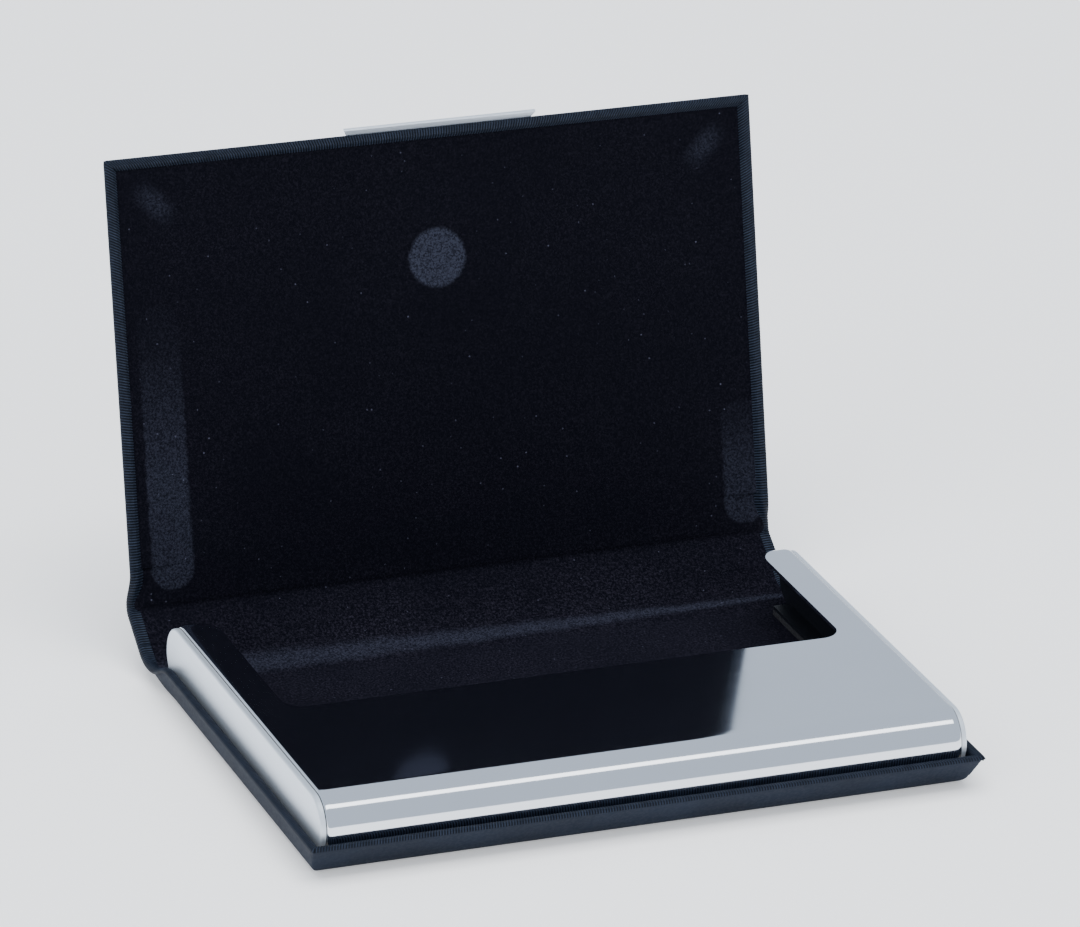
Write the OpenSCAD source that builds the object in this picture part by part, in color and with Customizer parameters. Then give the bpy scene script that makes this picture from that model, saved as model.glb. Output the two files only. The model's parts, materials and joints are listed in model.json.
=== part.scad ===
// Business card case: a leatherette clamshell with a flexible spine, round a polished steel card tray.
// Origin at the centre of the flat resting face. +X to the right, +Y to the spine, +Z up.
// Shown open: the spine rises from the rear of the base and the lid leans back from the spine.

/* [Case] */
// Width across the rims of the base and the lid
case_w = 97.4; // [88:0.2:120]
// Length of the flat resting face, from the front corner of the base to its fold
base_l = 63; // [56:0.5:90]
// Rise of the spine above the table, in degrees
spine_rise = 33.5; // [0:0.5:80]
// Rise of the lid above the table, in degrees
lid_rise = 76.4; // [34:0.2:110]
// Forward slant of the spine from upright when the case is shut, in degrees
spine_slant = 3; // [0:0.5:10]

/* [Rims] */
// Height of the base rim above the table
base_rim_h = 5; // [3.5:0.1:5.5]
// How far the base rim flares out at the front
base_flare_front = 3.6; // [3:0.1:4.5]
// How far the base rim flares out at each side
base_flare_side = 1.2; // [1.2:0.1:2.4]
// Depth of the lid rim
lid_rim_h = 2; // [1.7:0.1:2.4]
// How far the lid rim flares out, on all three edges
lid_flare = 2.2; // [1.8:0.1:3]
// Radius where the flat of a panel turns into its rim
rim_bend_r = 2; // [1.5:0.1:2.5]
// Distance from a fold to the start of a side rim
rim_from_fold = 1.6; // [1.4:0.1:3]
// Length over which a side rim rises to full height
rim_taper = 4; // [2:0.5:8]

/* [Sheets] */
// Thickness of the leatherette
cover_t = 0.5; // [0.4:0.05:0.7]
// Thickness of the pressed stiffener boards
board_t = 0.35; // [0.3:0.05:0.6]
// Thickness of the velvet lining
lining_t = 0.35; // [0.3:0.05:0.6]
// Thickness of the card insert that holds the magnet
insert_t = 0.4; // [0.4:0.05:0.8]
// Thickness of the leatherette where it is turned in over a rim
hem_t = 0.3; // [0.2:0.05:0.35]
// Depth of the turned-in edge below the top of the rim
hem_h = 0.9; // [0.5:0.1:1.2]

/* [Tray] */
// Height of the steel tray
tray_h = 9.4; // [8:0.1:12]
// Thickness of the tray's steel sheet
sheet_t = 0.5; // [0.4:0.05:0.6]
// Length of flat plate in front of the cut-out
plate_land = 25.3; // [16:0.1:30]
// Width of the two arms beside the cut-out
arm_w = 4.9; // [4:0.1:8]
// Corner radius of the cut-out
cutout_r = 3; // [1:0.1:4]
// Length of the flange under the rolled front
flange_l = 6.5; // [5:0.5:10]
// How far the arms run round past the centre of the rear curve
arm_over = 1.45; // [0.5:0.05:2]

/* [End pieces] */
// Thickness of each end piece
end_t = 0.9; // [0.7:0.1:1.5]
// How far the outline of an end piece lies inside the outline of the sheet
end_step = 0.35; // [0.2:0.05:0.5]
// Width of the lips that join an end piece to the sheet and the base
lip_w = 2.6; // [2:0.1:3.5]
// Thickness of those lips
lip_t = 0.55; // [0.4:0.05:0.8]
// Rounding of the outer edge of an end piece
end_round = 0.35; // [0.2:0.05:0.6]

/* [Magnet and clasp] */
// Diameter of the disc magnet in the lid
magnet_d = 8; // [5:0.5:12]
// Distance of the magnet from the lid's fold
magnet_y = 45.5; // [30:0.5:50]
// Width of the thumb plate at the edge of the lid
clasp_w = 29; // [15:0.5:50]
// How much narrower the thumb plate is at its root, each side
clasp_taper = 1.5; // [0:0.1:3]
// How far the thumb plate stands past the edge of the lid
clasp_over = 0.9; // [0.4:0.1:2]
// Thickness of the thumb plate
clasp_t = 0.5; // [0.4:0.05:0.8]
// Sideways offset of the thumb plate
clasp_x = 1.2; // [-5:0.1:5]

/* [Clearances] */
// Gap between the rolled front of the tray and the base rim
nose_gap = 0.25; // [0.2:0.05:0.4]
// Gap between the rolled front of the tray and the shut lid's rim
lid_nose_gap = 0.1; // [0.1:0.05:0.5]
// Distance of the end pieces inside the corners of the base
side_inset = 0.6; // [0.5:0.05:1]
// Gap between the tray and the lid's lining when the case is shut
shut_gap = 0.25; // [0.2:0.05:0.5]
// Gap between the rear of the tray and the spine's lining when the case is shut
spine_gap = 0.45; // [0.4:0.05:1]
// Height of the tray above the base board, filled by adhesive foam
tray_lift = 0.55; // [0.5:0.05:1]
// Gap on each side of a fold between the leatherette of one panel and the next
fold_gap = 0.35; // [0.3:0.05:0.5]
// Distance from a fold to the boards and linings beside it
fold_clear = 1.5; // [1.4:0.1:2.5]
// Play between pieces that are glued or slipped together
fit_gap = 0.05; // [0.05:0.05:0.1]

/* [Hidden] */
$fn = 64;

ARC_STEPS = 6;
OVER = 1;
leather = "#20242c";
velvet = "#0b0a10";
board_grey = "#8a8378";
steel = "#c3c9d1";
foam = "#d8d6cf";

wall_t = cover_t + board_t;
base_half = case_w / 2 - base_flare_side;
lid_half = case_w / 2 - lid_flare;
base_front_slope = atan2(base_rim_h, base_flare_front);
base_side_slope = atan2(base_rim_h, base_flare_side);
lid_slope = atan2(lid_rim_h, lid_flare);

// Folds: A joins the base to the spine, B the spine to the lid
fold_y = base_l / 2;
fold_z = cover_t / 2;

// Tray outline: two half circles joined by flats
tray_r = tray_h / 2;
tray_z = wall_t + tray_lift;
mid_z = tray_z + tray_r;
nose_y = (tray_r + wall_t + nose_gap - mid_z * cos(base_front_slope)) / sin(base_front_slope) - base_l / 2;
spine_stack = cover_t / 2 + lining_t;
tail_y = fold_y - (tray_r + spine_stack + spine_gap - (mid_z - fold_z) * sin(spine_slant)) / cos(spine_slant);
end_x = base_half - side_inset;
sheet_x = end_x - end_t;
cutout_y = nose_y + plate_land;
cutout_x = sheet_x - arm_w;
arm_end_y = tail_y + arm_over;

// Spine and lid: when shut, the lid lies level just above the tray
lid_stack = cover_t / 2 + board_t + insert_t + lining_t;
shut_z = tray_z + tray_h + shut_gap + lid_stack;
spine_l = (shut_z - fold_z) / cos(spine_slant);
shut_fold_y = fold_y + spine_l * sin(spine_slant);
shut_top_z = shut_z + cover_t / 2;
shut_corner = (tray_r + wall_t + lid_nose_gap - (shut_top_z - mid_z) * cos(lid_slope)) / sin(lid_slope);
lid_l = shut_fold_y - nose_y + shut_corner;
lid_flange = lid_rim_h / sin(lid_slope);

// ---- placing ----

// Along X: a profile drawn in Y and Z
module along_x(w) {
    rotate([90, 0, 90]) linear_extrude(w, center = true) children();
}

// Panel coordinates: Y away from the fold, Z = 0 on the outer face, +Z to the inside
module on_base() {
    translate([0, fold_y, 0]) mirror([0, 1, 0]) children();
}

module on_spine() {
    translate([0, fold_y, fold_z]) rotate([spine_rise, 0, 0]) translate([0, 0, -cover_t / 2]) children();
}

module on_lid() {
    translate([0, fold_y, fold_z]) rotate([spine_rise, 0, 0]) translate([0, spine_l, 0])
        rotate([lid_rise - spine_rise, 0, 0]) translate([0, 0, -cover_t / 2]) children();
}

// ---- dished panels ----

// Outline of the surface that lies d inside the outer face: a flat, a bend and a sloping rim
function rim_curve(edge, d, slope, h) =
    let (r = max(rim_bend_r - d, 0.1),
         corner = edge - d * tan(slope / 2),
         start = corner - r * tan(slope / 2))
    concat([for (i = [0 : ARC_STEPS]) let (a = slope * i / ARC_STEPS)
                [start + r * sin(a), d + r * (1 - cos(a))]],
           [[corner + (h - d) / tan(slope), h]]);

function flip(points) = [for (i = [len(points) - 1 : -1 : 0]) [-points[i][0], points[i][1]]];

// The room inside a panel, above the surface that lies d inside its outer face
module dish(half, length, side_slope, front_slope, h, d) {
    side = rim_curve(half, d, side_slope, h);
    front = rim_curve(length, d, front_slope, h);
    reach = length + h / tan(front_slope) + OVER;
    back = d > 0 ? -OVER : 0;
    intersection() {
        translate([0, reach, 0]) rotate([90, 0, 0])
            linear_extrude(reach + OVER) polygon(concat(flip(side), side));
        along_x(2 * case_w) polygon(concat([[back, h], [back, d]], front));
    }
}

// Everything lower than h, for cutting a rim's layers to their heights
module below(h, length) {
    translate([-case_w, -2 * OVER, -OVER]) cube([2 * case_w, length + 4 * case_w, h + OVER]);
}

// What is cut away above z so that the side rims rise gradually from the fold
module taper_cut(h, from, z) {
    along_x(2 * case_w) polygon([[-2 * OVER, z], [from, z], [from + rim_taper, h],
                                 [from + rim_taper, h + OVER], [-2 * OVER, h + OVER]]);
}

module panel_cover(half, length, side_slope, front_slope, h) {
    difference() {
        dish(half, length, side_slope, front_slope, h, 0);
        translate([0, 0, fit_gap / 10]) dish(half, length, side_slope, front_slope, h, wall_t + hem_t);
        intersection() {
            dish(half, length, side_slope, front_slope, h, wall_t);
            below(h - hem_h, length);
        }
        intersection() {
            dish(half, length, side_slope, front_slope, h, cover_t);
            below(h - cover_t / 2, length);
        }
        taper_cut(h, rim_from_fold, cover_t);
    }
    // The rolled edge of the leatherette, on the line of the fold
    translate([0, 0, cover_t / 2]) rotate([0, 90, 0]) cylinder(r = cover_t / 2, h = 2 * half, center = true);
}

module panel_board(half, length, side_slope, front_slope, h) {
    difference() {
        intersection() {
            dish(half, length, side_slope, front_slope, h, cover_t);
            below(h - cover_t / 2 - fit_gap, length);
        }
        dish(half, length, side_slope, front_slope, h, wall_t);
        taper_cut(h, rim_from_fold + wall_t, wall_t);
        translate([-case_w, -2 * OVER, -OVER]) cube([2 * case_w, fold_clear + 2 * OVER, h + 2 * OVER]);
    }
}

// ---- base ----

module base_cover() {
    color(leather) on_base() panel_cover(base_half, base_l, base_side_slope, base_front_slope, base_rim_h);
}

module base_board() {
    color(board_grey) on_base() panel_board(base_half, base_l, base_side_slope, base_front_slope, base_rim_h);
}

module base_lining() {
    front = nose_y + flange_l + fit_gap;
    rear = fold_y - fold_clear;
    half = sheet_x - lip_w - fit_gap;
    color(velvet) translate([-half, front, wall_t]) cube([2 * half, rear - front, lining_t]);
}

// ---- card tray ----

// Side view of the bent sheet: plate, rolled front, flange, and the start of the rear curve
module sheet_profile() {
    inner_r = tray_r - sheet_t;
    difference() {
        union() {
            translate([nose_y, mid_z]) circle(tray_r);
            translate([nose_y, mid_z + inner_r]) square([tail_y - nose_y, sheet_t]);
            translate([nose_y, tray_z]) square([flange_l, sheet_t]);
            translate([tail_y, mid_z]) circle(tray_r);
        }
        translate([nose_y, mid_z]) circle(inner_r);
        translate([tail_y, mid_z]) circle(inner_r);
        translate([nose_y, tray_z + sheet_t]) square([tail_y - nose_y, 2 * inner_r]);
        translate([nose_y + flange_l, tray_z - OVER])
            square([tail_y - nose_y + 2 * tray_r, OVER + sheet_t]);
        translate([tail_y - 2 * tray_r, tray_z - OVER]) square([4 * tray_r, OVER + tray_r]);
        translate([arm_end_y, tray_z]) square([2 * tray_r, 2 * tray_r]);
    }
}

// Plan of the cut-out: round inner corners, and arms rounded at their inner rear corners
module cutout_plan() {
    x = cutout_x;
    r = cutout_r;
    difference() {
        union() {
            translate([-x, cutout_y + r]) square([2 * x, arm_end_y - cutout_y]);
            translate([-x + r, cutout_y]) square([2 * (x - r), arm_end_y - cutout_y]);
            for (s = [-1, 1]) {
                translate([s * (x - r), cutout_y + r]) circle(r);
                translate([s * x - r, arm_end_y - r]) square([2 * r, r + OVER]);
            }
        }
        for (s = [-1, 1]) translate([s * (x + r), arm_end_y - r]) circle(r);
    }
}

module tray_sheet() {
    color(steel) difference() {
        along_x(2 * sheet_x) sheet_profile();
        translate([0, 0, mid_z]) linear_extrude(tray_h) cutout_plan();
    }
}

// Rounded half outline of an end piece, for its turned ends
module end_edge(r) {
    square([r, end_t - end_round]);
    square([r - end_round, end_t]);
    translate([r - end_round, end_t - end_round]) circle(end_round);
}

module end_piece() {
    r = tray_r - end_step;
    lip_y = nose_y + flange_l + fit_gap;
    top_z = mid_z + tray_r - sheet_t - fit_gap;
    low_z = tray_z + sheet_t + fit_gap;
    for (y = [nose_y, tail_y])
        translate([sheet_x, y, mid_z]) rotate([0, 90, 0]) rotate_extrude() intersection() {
            end_edge(r);
            square([r, end_t]);
        }
    translate([sheet_x, nose_y, mid_z]) multmatrix([[0, 0, 1, 0], [1, 0, 0, 0], [0, 1, 0, 0], [0, 0, 0, 1]])
        linear_extrude(end_t - end_round) translate([0, -r]) square([tail_y - nose_y, 2 * r]);
    translate([sheet_x, nose_y, mid_z - r + end_round]) cube([end_t, tail_y - nose_y, 2 * (r - end_round)]);
    for (s = [-1, 1])
        translate([sheet_x + end_t - end_round, nose_y, mid_z + s * (r - end_round)])
            rotate([-90, 0, 0]) cylinder(r = end_round, h = tail_y - nose_y);
    // Lips under the plate and on the foam tape
    translate([sheet_x - lip_w, nose_y + tray_r, top_z - lip_t])
        cube([lip_w + OVER / 2, tail_y - nose_y - tray_r, lip_t]);
    translate([sheet_x - lip_w, lip_y, low_z]) cube([lip_w + OVER / 2, tail_y - lip_y, lip_t]);
}

module tray_end_right() {
    color(steel) end_piece();
}

module tray_end_left() {
    color(steel) mirror([1, 0, 0]) end_piece();
}

module foam_tape_front() {
    half = sheet_x - lip_w;
    color(foam) translate([-half, nose_y, wall_t]) cube([2 * half, flange_l, tray_lift]);
}

module foam_tape_side() {
    front = nose_y + flange_l + 2 * fit_gap;
    translate([sheet_x - lip_w, front, wall_t])
        cube([lip_w - fit_gap, tail_y - front, tray_lift + sheet_t + fit_gap]);
}

module foam_tape_right() {
    color(foam) foam_tape_side();
}

module foam_tape_left() {
    color(foam) mirror([1, 0, 0]) foam_tape_side();
}

// ---- spine ----

module spine_cover() {
    color(leather) on_spine() translate([-case_w / 2, fold_gap, 0]) cube([case_w, spine_l - 2 * fold_gap, cover_t]);
}

module spine_lining() {
    half = case_w / 2 - lid_flare;
    near = fold_clear - lining_t;
    color(velvet) on_spine() translate([-half, near, cover_t]) cube([2 * half, spine_l - 2 * near, lining_t]);
}

// ---- lid ----

module lid_cover() {
    color(leather) on_lid() panel_cover(lid_half, lid_l, lid_slope, lid_slope, lid_rim_h);
}

module lid_board() {
    color(board_grey) on_lid() panel_board(lid_half, lid_l, lid_slope, lid_slope, lid_rim_h);
}

// A flat sheet inside the lid's rims, from z up by t
module lid_sheet(z, t) {
    half = lid_half - rim_bend_r * tan(lid_slope / 2);
    length = lid_l - rim_bend_r * tan(lid_slope / 2);
    translate([-half, fold_clear, z]) cube([2 * half, length - fold_clear, t]);
}

module lid_insert() {
    color(board_grey) on_lid() difference() {
        lid_sheet(wall_t, insert_t);
        translate([0, magnet_y, wall_t - OVER]) cylinder(d = magnet_d + 2 * fit_gap, h = insert_t + 2 * OVER);
    }
}

module lid_lining() {
    color(velvet) on_lid() lid_sheet(wall_t + insert_t, lining_t);
}

module magnet() {
    color(steel) on_lid() translate([0, magnet_y, wall_t]) cylinder(d = magnet_d, h = insert_t);
}

// Thin plate on the outside of the front rim, standing past the edge for the thumb
module clasp_plate() {
    reach = lid_flange + clasp_over;
    root = lid_flange / 4;
    tip = clasp_w / 2;
    color(steel) on_lid() translate([clasp_x, lid_l, 0]) rotate([lid_slope, 0, 0])
        translate([0, 0, -clasp_t - fit_gap]) linear_extrude(clasp_t)
            polygon([[-tip + clasp_taper, root], [tip - clasp_taper, root], [tip, reach], [-tip, reach]]);
}

base_cover();
base_board();
base_lining();
tray_sheet();
tray_end_left();
tray_end_right();
foam_tape_front();
foam_tape_left();
foam_tape_right();
spine_cover();
spine_lining();
lid_cover();
lid_board();
lid_insert();
lid_lining();
magnet();
clasp_plate();
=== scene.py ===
"""An open business card case: leatherette clamshell, velvet lining and a polished steel card tray."""

import json
import logging
import math
from collections.abc import Callable, Sequence
from dataclasses import dataclass
from enum import Enum

import bmesh
import bpy
from mathutils import Matrix, Vector


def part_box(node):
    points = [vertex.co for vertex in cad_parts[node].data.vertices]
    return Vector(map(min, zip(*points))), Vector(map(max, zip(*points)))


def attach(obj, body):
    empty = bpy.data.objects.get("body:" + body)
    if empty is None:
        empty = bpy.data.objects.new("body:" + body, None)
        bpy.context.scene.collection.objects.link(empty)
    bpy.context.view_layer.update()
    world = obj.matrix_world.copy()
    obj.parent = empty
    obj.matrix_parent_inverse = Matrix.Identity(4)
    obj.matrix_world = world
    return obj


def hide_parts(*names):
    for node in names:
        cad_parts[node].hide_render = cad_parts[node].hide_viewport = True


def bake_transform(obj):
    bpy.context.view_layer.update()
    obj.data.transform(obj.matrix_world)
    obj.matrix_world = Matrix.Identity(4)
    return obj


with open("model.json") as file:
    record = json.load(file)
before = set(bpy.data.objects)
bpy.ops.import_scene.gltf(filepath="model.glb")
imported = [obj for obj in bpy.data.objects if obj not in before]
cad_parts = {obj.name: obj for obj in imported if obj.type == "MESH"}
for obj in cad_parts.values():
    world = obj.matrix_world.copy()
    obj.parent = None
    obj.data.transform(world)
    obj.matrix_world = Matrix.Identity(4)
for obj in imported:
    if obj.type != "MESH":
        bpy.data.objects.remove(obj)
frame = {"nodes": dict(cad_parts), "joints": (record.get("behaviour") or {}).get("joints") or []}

log = logging.getLogger("card_case")

MM = 0.001
IMAGE_WIDTH = 1080
Pair = tuple[float, float]


class Body(Enum):
    """The three panels that turn on one another."""

    BASE = "base"
    SPINE = "spine"
    LID = "lid"


class Side(Enum):
    """A side of the case, as the sign of X."""

    LEFT = -1
    RIGHT = 1


# ---- small sums ----


def smooth_step(value: float, low: float, high: float) -> float:
    """A soft step.

    Args:
        value: where to read the step.
        low: where it starts to rise.
        high: where it reaches its top.
    Returns:
        A number from 0 to 1.
    """
    t = min(1.0, max(0.0, (value - low) / (high - low)))
    return t * t * (3 - 2 * t)


def soft_greater(a: float, b: float, power: float) -> float:
    """The greater of two heights, rounded where they are nearly equal.

    Args:
        a: the first height, at least 0.
        b: the second height, at least 0.
        power: how sharp the mitre between the two is.
    Returns:
        The joined height.
    """
    top = max(a, b)
    if top <= 0:
        return 0.0
    return top * ((a / top) ** power + (b / top) ** power) ** (1 / power)


def spread(low: float, high: float, count: int) -> list[float]:
    """Evenly spaced values, both ends among them.

    Args:
        low: the first value.
        high: the last value.
        count: how many steps lie between them.
    Returns:
        count + 1 values.
    """
    return [low + (high - low) * i / count for i in range(count + 1)]


def rounded_corners(points: Sequence[Pair], radii: Sequence[float], steps: int) -> list[Pair]:
    """An open outline with its inner corners turned into arcs.

    Args:
        points: the outline's corners in order.
        radii: the radius at each inner corner.
        steps: how many steps each arc has.
    Returns:
        The points of the rounded outline.
    """
    made = [points[0]]
    for before, corner, after, radius in zip(points, points[1:], points[2:], radii):
        c = Vector(corner)
        to_before = (Vector(before) - c).normalized()
        to_after = (Vector(after) - c).normalized()
        half = math.acos(max(-1.0, min(1.0, to_before.dot(to_after)))) / 2
        centre = c + (to_before + to_after).normalized() * (radius / math.sin(half))
        start = c + to_before * (radius / math.tan(half)) - centre
        end = c + to_after * (radius / math.tan(half)) - centre
        turn = math.atan2(start.x * end.y - start.y * end.x, start.dot(end))
        for i in range(steps + 1):
            a = turn * i / steps
            x = start.x * math.cos(a) - start.y * math.sin(a)
            y = start.x * math.sin(a) + start.y * math.cos(a)
            made.append((centre.x + x, centre.y + y))
    return made + [points[-1]]


def curve_points(start: Pair, control: Pair, end: Pair, steps: int) -> list[Pair]:
    """A bend drawn as a curve with one control point.

    Args:
        start: the first point.
        control: the point that the bend leans to.
        end: the last point.
        steps: how many steps the bend has.
    Returns:
        The points of the bend.
    """
    made = []
    for t in spread(0, 1, steps):
        a, b, c = (1 - t) ** 2, 2 * t * (1 - t), t * t
        made.append(tuple(a * start[i] + b * control[i] + c * end[i] for i in (0, 1)))
    return made


# ---- meshes ----


def new_piece(name: str, shape: bmesh.types.BMesh, crease: float = 40.0) -> bpy.types.Object:
    """Turns a finished bmesh into a piece of the scene, smooth except at sharp edges.

    Args:
        name: the piece's name.
        shape: the bmesh, which is freed.
        crease: edges sharper than this many degrees stay sharp.
    Returns:
        The new object, at the origin.
    """
    mesh = bpy.data.meshes.new(name)
    shape.to_mesh(mesh)
    shape.free()
    mesh.shade_smooth()
    mesh.set_sharp_from_angle(angle=math.radians(crease))
    piece = bpy.data.objects.new(name, mesh)
    bpy.context.scene.collection.objects.link(piece)
    return piece


def shaped_sheet(
    name: str,
    across: int,
    along: int,
    place: Callable[[int, int], Vector],
    turn_over: bool = False,
    keep: Callable[[int, int], bool] | None = None,
    chart: Callable[[int, int], Pair] | None = None,
) -> bpy.types.Object:
    """A grid whose crossings are moved to where the sheet passes.

    Args:
        name: the piece's name.
        across: how many faces the grid has across.
        along: how many faces it has along.
        place: gives a crossing's place from its column and row.
        turn_over: True where the grid's front would face inwards.
        keep: says which faces stay, by their column and row; all of them without it.
        chart: gives a crossing's place on the flat cut, in metres, for the weave.
    Returns:
        The new piece.
    """
    shape = bmesh.new()
    flat = shape.loops.layers.uv.new("cut")
    bmesh.ops.create_grid(shape, x_segments=across, y_segments=along, size=0.5)
    where = {}
    for crossing in shape.verts:
        column = round((crossing.co.x + 0.5) * across)
        row = round((crossing.co.y + 0.5) * along)
        where[crossing] = (column, row)
    if keep is not None:
        dropped = []
        for face in shape.faces:
            column = min(where[v][0] for v in face.verts)
            row = min(where[v][1] for v in face.verts)
            if not keep(column, row):
                dropped.append(face)
        bmesh.ops.delete(shape, geom=dropped, context="FACES")
    if chart is not None:
        for face in shape.faces:
            for loop in face.loops:
                loop[flat].uv = chart(*where[loop.vert])
    for crossing in shape.verts:
        crossing.co = place(*where[crossing])
    bmesh.ops.remove_doubles(shape, verts=shape.verts, dist=1e-7)
    if turn_over:
        bmesh.ops.reverse_faces(shape, faces=shape.faces)
    return new_piece(name, shape)


def thicken(piece: bpy.types.Object, thickness: float) -> None:
    """Gives a sheet its thickness, away from the side that it shows, and eases its rims."""
    wall = piece.modifiers.new("thickness", "SOLIDIFY")
    wall.thickness = thickness
    wall.offset = -1
    wall.use_even_offset = False
    soften(piece, min(0.05 * MM, 0.3 * thickness), 2)


def soften(piece: bpy.types.Object, width: float, steps: int, angle: float = 50.0) -> None:
    """Rounds a piece's sharp edges a little, so that they catch the light."""
    edge = piece.modifiers.new("eased edges", "BEVEL")
    edge.width = width
    edge.segments = steps
    edge.limit_method = "ANGLE"
    edge.angle_limit = math.radians(angle)
    edge.use_clamp_overlap = True
    edge.harden_normals = True


# ---- the case's lines ----


@dataclass(frozen=True)
class CaseLines:
    """The folds and the side view of the case, as the frame gives them, in metres."""

    fold: Pair
    crease: Pair
    spine_rise: float
    lid_rise: float
    half_width: float
    base_reach: float
    base_rim: float
    lid_reach: float
    lid_rim: float
    fold_radius: float = 16 * MM
    crease_radius: float = 1.9 * MM

    @property
    def spine_length(self) -> float:
        """Length of the spine between its two folds."""
        return math.dist(self.fold, self.crease)

    def line(self, v: float) -> tuple[float, float, float]:
        """A point on the line through the folds.

        Args:
            v: distance along the case from the fold, negative on the base.
        Returns:
            Its Y, its Z and the line's rise there in radians.
        """
        corners = (
            (self.fold, 0.0, 0.0, self.spine_rise, self.fold_radius),
            (self.crease, self.spine_length, self.spine_rise, self.lid_rise, self.crease_radius),
        )
        for (y, z), at, before, after, radius in corners:
            half = radius * math.tan((after - before) / 2)
            if v < at - half:
                return y + (v - at) * math.cos(before), z + (v - at) * math.sin(before), before
            if v <= at + half:
                rise = before + (after - before) * (v - at + half) / (2 * half)
                start = (y - half * math.cos(before), z - half * math.sin(before))
                centre = (start[0] - radius * math.sin(before), start[1] + radius * math.cos(before))
                return centre[0] + radius * math.sin(rise), centre[1] - radius * math.cos(rise), rise
        y, z = self.crease
        on = v - self.spine_length
        return y + on * math.cos(self.lid_rise), z + on * math.sin(self.lid_rise), self.lid_rise

    def place(self, x: float, v: float, height: float) -> Vector:
        """A point of a panel.

        Args:
            x: its distance to the right of the middle.
            v: its distance along the case from the fold.
            height: its height above the panel's outer face.
        Returns:
            The point in the frame.
        """
        y, z, rise = self.line(v)
        above = height - self.fold[1]
        return Vector((x, y - above * math.sin(rise), z + above * math.cos(rise)))

    def base_share(self, v: float) -> float:
        """How far the base's side rims have risen at v, from 0 at the fold to 1."""
        return smooth_step(-v, -5.5 * MM, 7.5 * MM)

    def lid_share(self, v: float) -> float:
        """How far the lid's side rims have risen at v, from 0 at the crease to 1."""
        return smooth_step(v - self.spine_length, 0.8 * MM, 5.6 * MM)


def read_lines() -> CaseLines:
    """Takes the case's lines from the frame's joints and boxes.

    Returns:
        The lines.
    """
    lid_rim = 2 * MM
    joints = {j["name"]: j for j in frame["joints"]}
    spine_rise = -math.radians(joints["spine_fold"]["range_deg"][0])
    lid_rise = spine_rise - math.radians(joints["lid_fold"]["range_deg"][0])
    fold = tuple(joints["spine_fold"]["pos_m"][1:])
    crease = tuple(joints["lid_fold"]["pos_m"][1:])
    base_low, base_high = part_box("base_cover")
    lid_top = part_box("lid_cover")[1].z
    above = (lid_rim - fold[1]) * math.cos(lid_rise)
    return CaseLines(
        fold=fold,
        crease=crease,
        spine_rise=spine_rise,
        lid_rise=lid_rise,
        half_width=base_high.x,
        base_reach=fold[0] - base_low.y,
        base_rim=base_high.z,
        lid_reach=(lid_top - crease[1] - above) / math.sin(lid_rise),
        lid_rim=lid_rim,
    )


@dataclass(frozen=True)
class RimSection:
    """Cross-section of a turned-up rim, as reach from the middle or fold and height above the outer face."""

    reach: float
    flare: float
    height: float
    bend: float = 2 * MM
    wall: float = 0.8 * MM
    hem_drop: float = 0.95 * MM
    flat_hem: float = 1.3 * MM
    outer_leg: float = 0.28 * MM
    tuck: float = 0.12 * MM
    under_hem: float = 1.3
    step_in: float = 0.1 * MM
    hem_rounds: Pair = (0.2 * MM, 0.34 * MM)

    def slope(self, share: float = 1.0) -> float:
        """Slope of the rim's outer face where it has risen to that share."""
        return math.atan2(self.height * share, self.flare)

    def inward(self, share: float) -> Vector:
        """The direction from the rim's inner face into the rim."""
        slope = self.slope(share)
        return Vector((math.sin(slope), -math.cos(slope)))

    def skin(self, bend_steps: int, rise_steps: int) -> list[Pair]:
        """The outer face from the foot of the bend to just under the hem.

        Args:
            bend_steps: steps round the bend.
            rise_steps: steps up the flat of the rim.
        Returns:
            Points at full height, as reach and height.
        """
        slope = self.slope()
        corner = self.reach - self.flare
        foot = corner - self.bend * math.tan(slope / 2)
        arc = [
            (foot + self.bend * math.sin(a), self.bend * (1 - math.cos(a)))
            for a in spread(0, slope, bend_steps)
        ]
        below = self.outer_leg * self.under_hem
        top = (self.reach - below * math.cos(slope), self.height - below * math.sin(slope))
        rise = [
            (arc[-1][0] + (top[0] - arc[-1][0]) * t, arc[-1][1] + (top[1] - arc[-1][1]) * t)
            for t in spread(0, 1, rise_steps)[1:]
        ]
        tucked = (
            top[0] + self.outer_leg * math.cos(slope) - self.step_in * math.sin(slope),
            top[1] + self.outer_leg * math.sin(slope) + self.step_in * math.cos(slope),
        )
        return arc + rise + [tucked]

    def hem_corners(self, share: float) -> list[Pair]:
        """The four corners of the hem that is turned in over the rim.

        Args:
            share: how far the rim has risen there.
        Returns:
            Where the hem starts outside, the outer edge, the inner edge and where it ends inside.
        """
        slope = self.slope(share)
        along = Vector((math.cos(slope), math.sin(slope)))
        outer = Vector((self.reach, self.height * share))
        lean = math.pi / 2 * (1 + share)
        inner = outer + Vector((math.cos(lean), math.sin(lean))) * (self.wall / math.sin(lean - slope))
        full_hem = self.hem_drop / math.sin(self.slope())
        end = inner - along * (self.flat_hem + (full_hem - self.flat_hem) * share)
        start = outer - along * self.outer_leg
        return [tuple(p) for p in (start, outer, inner, end)]

    def hem(self, share: float) -> list[Pair]:
        """The hem's outline with its two edges rounded, where the rim has risen to share."""
        start, outer, inner, end = self.hem_corners(share)
        sunk = Vector(end) + self.inward(share) * self.tuck
        rounded = rounded_corners([start, outer, inner, end], self.hem_rounds, 4)
        return rounded[:-1] + [end, tuple(sunk)]

    def lining_edge(self, share: float, down: float) -> Pair:
        """Where the velvet slips under the hem.

        Args:
            share: how far the rim has risen there.
            down: how far down the hem that is, from 0 at its inner edge to 1 at its end.
        Returns:
            The point as reach and height.
        """
        _, _, inner, end = self.hem_corners(share)
        return tuple(Vector(inner).lerp(Vector(end), down) + self.inward(share) * self.tuck)


# ---- shader tools ----


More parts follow.
